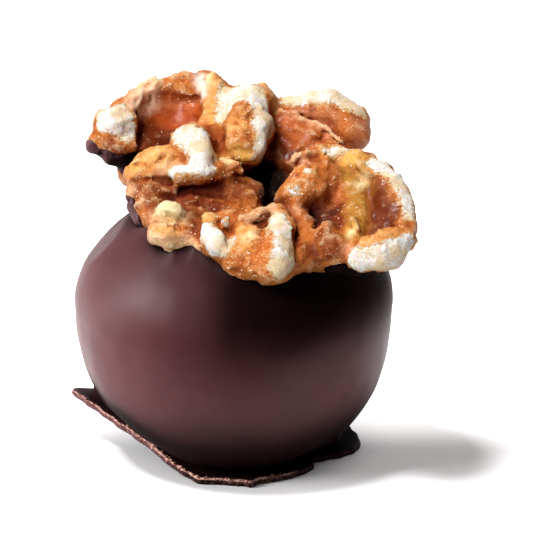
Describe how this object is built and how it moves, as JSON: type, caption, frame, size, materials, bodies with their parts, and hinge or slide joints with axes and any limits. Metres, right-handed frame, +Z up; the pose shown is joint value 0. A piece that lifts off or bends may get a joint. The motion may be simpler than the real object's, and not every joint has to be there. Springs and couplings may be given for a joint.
{
  "type": "chocolate truffle",
  "caption": "Dark chocolate truffle, a dipped ball on a thin run-off foot that curls up at one side, with a walnut half pressed into its top.",
  "frame": {"origin": "on the ground under the axis of the chocolate ball", "axes": "+Z up, +Y to the back, +X to the right as seen with the walnut's inner face leaning towards the viewer"},
  "size_m": [0.0325, 0.03, 0.034],
  "materials": {
    "dark_chocolate": "satin dark chocolate",
    "walnut": "amber kernel with rubbed pale crests"
  },
  "bodies": {
    "root": {"chocolate": "dark_chocolate", "walnut": "walnut"}
  },
  "joints": []
}
